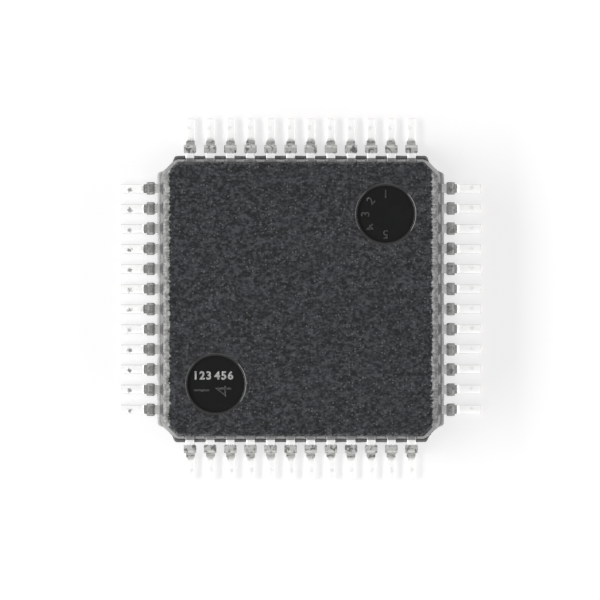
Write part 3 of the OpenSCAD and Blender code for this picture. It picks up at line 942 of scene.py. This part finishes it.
# cutting tool for one ejector pin mark, with a soft floor corner and a rounded mouth
def markOutline():
    depth, taper, soft = body["markDepth"], body["markTaper"], body["markCorner"]
    floorRadius = body["markDiameter"] / 2 - taper
    width, slope = body["markMouth"], math.tan(math.radians(body["markMouthSlope"]))
    mouthRadius = body["markDiameter"] / 2 + width * 0.25
    outline = [(0.001, -depth), (floorRadius - soft - 0.012, -depth)]
    outline += arcPoints((floorRadius - soft, -depth + soft), soft, 270, 350, 5)
    outline += [(mouthRadius - width, -width * slope - 0.006), (mouthRadius - width * 0.94, -width * slope),
                (mouthRadius - width * 0.25, -width * slope * 0.28), (mouthRadius, -0.0015)]
    outline += [(mouthRadius + 0.006, 0.0005), (mouthRadius + 0.006, 0.05), (0.001, 0.05)]
    return outline


def makeMarkCutters(material):
    cutters = []
    for side in (1, -1):
        for face, flip in ((bodyHigh.z, 1), (bodyLow.z, -1)):
            outline = [(r, face + flip * z) for r, z in markOutline()]
            verts, faces = spinOutline(outline, side * markCentre, side * markCentre, body["markSteps"])
            cutter = newObject("markCutter", verts, faces, [material])
            turnOutward(cutter.data)
            cutters.append(cutter)
    return cutters


def makeNotchCutter(material):
    chamferDistance = (2 * halfBody - body["chamfer"]) / math.sqrt(2)
    work = bmesh.new()
    for corner in range(4):
        made = bmesh.ops.create_cube(work, size=1.0)["verts"]
        size = Matrix.Diagonal((0.4 * mm, (body["flashBreak"] - 0.1) * mm, 0.3 * mm, 1))
        middle = Matrix.Translation(((chamferDistance + 0.2) * mm, 0, (sheetTop + sheetBottom) / 2 * mm))
        turn = Matrix.Rotation(math.radians(45 + 90 * corner), 4, "Z")
        bmesh.ops.transform(work, matrix=turn @ middle @ size, verts=made)
    mesh = bpy.data.meshes.new("notchCutter")
    mesh.materials.append(material)
    work.to_mesh(mesh)
    work.free()
    return placeObject("notchCutter", mesh)


def makeBody():
    compound, polished, flash = makeMouldCompound(), makePolishedCompound(), makeFlashResin()
    verts, faces = loftRings(bodyRings())
    obj = newObject("mouldedBody", verts, faces, [compound, polished, flash])
    flashLow, flashHigh = (sheetBottom + 0.0005) * mm, (sheetTop - 0.0005) * mm
    for face in obj.data.polygons:
        if flashLow < face.center.z < flashHigh:
            face.material_index = 2
    inner = ["die_paddle", "die_attach", "silicon_die"] + ["bond_wires_" + side for side in sides]
    pockets = [placeObject("leadCutter", leads.data.copy())] + [weldedCopy(node) for node in inner]
    for pocket in pockets:
        pocket.data.materials.clear()
        pocket.data.materials.append(compound)
    cutAway(obj, pockets + [makeNotchCutter(flash)] + makeMarkCutters(polished))
    for name in ("run", "across", "rise", "bare", "leadTone", "footSpotStrength", "sidePaintedShade", "wornTo",
                 "station", "side"):
        if name in obj.data.attributes:
            obj.data.attributes.remove(obj.data.attributes[name])
    smoothShade(obj, 35)
    weighted = obj.modifiers.new("normals", "WEIGHTED_NORMAL")
    weighted.keep_sharp = True
    return obj


mouldedBody = makeBody()
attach(mouldedBody, "root")
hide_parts("moulded_body")
print("body made:", len(mouldedBody.data.polygons), "faces,",
      [m.name for m in mouldedBody.data.materials])


figures = {
    "height": 0.19,         # of a numeral, mm
    "sideHeight": 0.40,     # of the two that lie on their sides
    "dialHeight": 0.21,
    "dialRadius": 0.49,
    "thickness": 0.014,
    "bevel": 0.004,
    "sunk": 0.002,
    # dark grain, pale grain, glint and roughness
    # the pale row figures' colour is painted highlight, for the light their raised strokes catch
    "pale": ((0.28, 0.28, 0.27, 1), (0.60, 0.60, 0.58, 1), (0.70, 0.70, 0.68, 1), 0.5),
    "dark": ((0.016, 0.016, 0.016, 1), (0.050, 0.050, 0.050, 1), (0.22, 0.22, 0.215, 1), 0.22),
}


def makeFigure(name, text, x, y, turn, height, weight, material):
    curve = bpy.data.curves.new(name, "FONT")
    curve.body = text
    curve.align_x, curve.align_y = "CENTER", "CENTER"
    curve.size = height / 0.7 * mm
    curve.offset = weight * mm
    curve.extrude = figures["thickness"] / 2 * mm
    curve.bevel_depth = figures["bevel"] * mm
    curve.bevel_resolution = 2
    curve.resolution_u = 6
    curve.space_character = 1.2
    curve.materials.append(material)
    obj = placeObject(name, curve)
    graph = bpy.context.evaluated_depsgraph_get()
    mesh = bpy.data.meshes.new_from_object(obj.evaluated_get(graph), depsgraph=graph)
    bpy.data.objects.remove(obj)
    floor = bodyHigh.z - body["markDepth"] - figures["sunk"] + figures["thickness"] / 2
    mesh.transform(Matrix.Translation((x * mm, y * mm, floor * mm)) @ Matrix.Rotation(turn, 4, "Z"))
    return placeObject(name, mesh)


# joins the pieces of one label into one object, all in one material
def joinFigures(name, objects, material):
    work = bmesh.new()
    for obj in objects:
        work.from_mesh(obj.data)
        bpy.data.objects.remove(obj)
    bmesh.ops.remove_doubles(work, verts=work.verts, dist=1e-8)
    mesh = bpy.data.meshes.new(name)
    work.to_mesh(mesh)
    work.free()
    joined = placeObject(name, mesh)
    joined.data.materials.append(material)
    return joined


def makeRowFigures():
    # pale figures: painted highlight
    pale = makeRaisedFigures("paleFigures", *figures["pale"])
    rows = (("123", -0.335, 0.20), ("456", 0.20, 0.20))
    made = [makeFigure("rowFigure", text, x - markCentre, y - markCentre, 0.0,
                       figures["height"], 0.006, pale) for text, x, y in rows]
    return joinFigures("rowFigures", made, pale)


def makeSideFigures(dark):
    rows = (("1", -0.325, -0.155), ("4", 0.215, -0.17))
    made = [makeFigure("sideFigure", text, x - markCentre, y - markCentre, math.pi / 2,
                       figures["sideHeight"], -0.006, dark) for text, x, y in rows]
    return joinFigures("sideFigures", made, dark)


def makeDialFigures(dark):
    made = []
    for number, bearing in enumerate((90, 138, 180, 222, 270), start=1):
        angle = math.radians(bearing)
        x = markCentre + figures["dialRadius"] * math.cos(angle)
        y = markCentre + figures["dialRadius"] * math.sin(angle)
        made.append(makeFigure("dialFigure", str(number), x, y, angle - math.pi / 2,
                               figures["dialHeight"], 0.0, dark))
    return joinFigures("dialFigures", made, dark)


darkFigures = makeRaisedFigures("darkFigures", *figures["dark"])
for figurePiece in (makeRowFigures(), makeSideFigures(darkFigures), makeDialFigures(darkFigures)):
    smoothShade(figurePiece, 40)
    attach(figurePiece, "root")
print("figures made")


studio = {
    "floorSize": 0.6,
    "floorGlow": 0.66,          # share of the floor's white that no shadow takes
    "floorWhite": 0.465,
    "skyDiffuse": 0.22,
    "skyRim": 1.0,              # what gloss sees low down, the colour of the backdrop
    "skyCeiling": 1.0,          # and higher up
    "lensHole": 0.9970,         # sine of the height where the tent opens for the lens
    "lensEdge": 0.004,
    "lensDark": 0.12,
    "lens": 400.0,
    "cameraHeight": 165.4,      # mm over the leadframe
    "cameraShift": (-0.018, -0.024),   # mm
}
# softboxes: bearing and lift in degrees, share of a white floor's light, length and height in metres
softboxes = {
    "left": (184.0, 30.0, 0.52, 0.44, 0.08),
    "right": (-8.0, 30.0, 0.18, 0.44, 0.06),
    "front": (270.0, 50.0, 0.08, 0.20, 0.16),
}
softboxReach = 0.32


# white for what the camera and the gloss see, plain for the light it sheds
def makeFloor():
    half = studio["floorSize"] / 2 / mm
    obj = newObject("floor", [(-half, -half, 0), (half, -half, 0), (half, half, 0), (-half, half, 0)],
                    [(0, 1, 2, 3)])
    material, tree, shader = newMaterial("paleFloor")
    tree.nodes.remove(shader)
    calc = mathIn(tree)
    path = addNode(tree, "ShaderNodeLightPath").outputs
    seen = calc("MAXIMUM", path["Is Camera Ray"],
                calc("MAXIMUM", path["Is Glossy Ray"], path["Is Transmission Ray"]))
    lit = addNode(tree, "ShaderNodeBsdfDiffuse", {"Color": (studio["floorWhite"],) * 3 + (1,)})
    glow = addNode(tree, "ShaderNodeEmission", {"Strength": studio["floorGlow"]})
    both = addNode(tree, "ShaderNodeAddShader", {0: lit.outputs[0], 1: glow.outputs[0]})
    plain = addNode(tree, "ShaderNodeBsdfDiffuse", {"Color": (0.8, 0.8, 0.8, 1)})
    mixed = addNode(tree, "ShaderNodeMixShader", {0: seen, 1: plain.outputs[0], 2: both.outputs[0]})
    tree.links.new(mixed.outputs[0], tree.nodes["Material Output"].inputs["Surface"])
    obj.data.materials.append(material)


def makeWorld():
    world = bpy.data.worlds.new("lightTent")
    bpy.context.scene.world = world
    world.use_nodes = True
    tree = world.node_tree
    calc = mathIn(tree)
    background = tree.nodes["Background"]
    path = addNode(tree, "ShaderNodeLightPath").outputs
    direction = addNode(tree, "ShaderNodeTexCoord").outputs["Generated"]
    height = addAxes(tree, direction)["Z"]
    upper = addRange(tree, addRamp(tree, height, 0.1, 0.4), studio["skyRim"], studio["skyCeiling"])
    hole = addRamp(tree, height, studio["lensHole"] - studio["lensEdge"], studio["lensHole"])
    glossView = calc("MULTIPLY", upper, addRange(tree, hole, 1.0, studio["lensDark"]))
    seen = calc("MAXIMUM", path["Is Glossy Ray"], path["Is Transmission Ray"])
    level = addRange(tree, seen, studio["skyDiffuse"], glossView)
    tree.links.new(calc("MAXIMUM", level, path["Is Camera Ray"]), background.inputs["Strength"])
    background.inputs["Color"].default_value = (1, 1, 1, 1)


def makeSoftbox(name, bearing, lift, share, length, height):
    light = bpy.data.lights.new(name, "AREA")
    light.shape = "RECTANGLE"
    light.size, light.size_y = length, height
    bearing, lift = math.radians(bearing), math.radians(lift)
    light.energy = share * math.pi ** 2 * softboxReach ** 2 / math.sin(lift)
    obj = placeObject(name, light)
    obj.location = (softboxReach * math.cos(lift) * math.cos(bearing),
                    softboxReach * math.cos(lift) * math.sin(bearing),
                    softboxReach * math.sin(lift))
    obj.rotation_euler = Vector(obj.location).to_track_quat("Z", "Y").to_euler()


def makeCamera():
    camera = bpy.data.cameras.new("camera")
    camera.lens = studio["lens"]
    camera.clip_start, camera.clip_end = 0.001, 10
    obj = placeObject("camera", camera)
    obj.location = (studio["cameraShift"][0] * mm, studio["cameraShift"][1] * mm,
                    (studio["cameraHeight"] + sheetTop) * mm)
    bpy.context.scene.camera = obj


makeFloor()
makeWorld()
for softbox, placing in softboxes.items():
    makeSoftbox(softbox + "Softbox", *placing)
makeCamera()
bpy.context.scene.view_settings.view_transform = "Standard"
print("stage set")
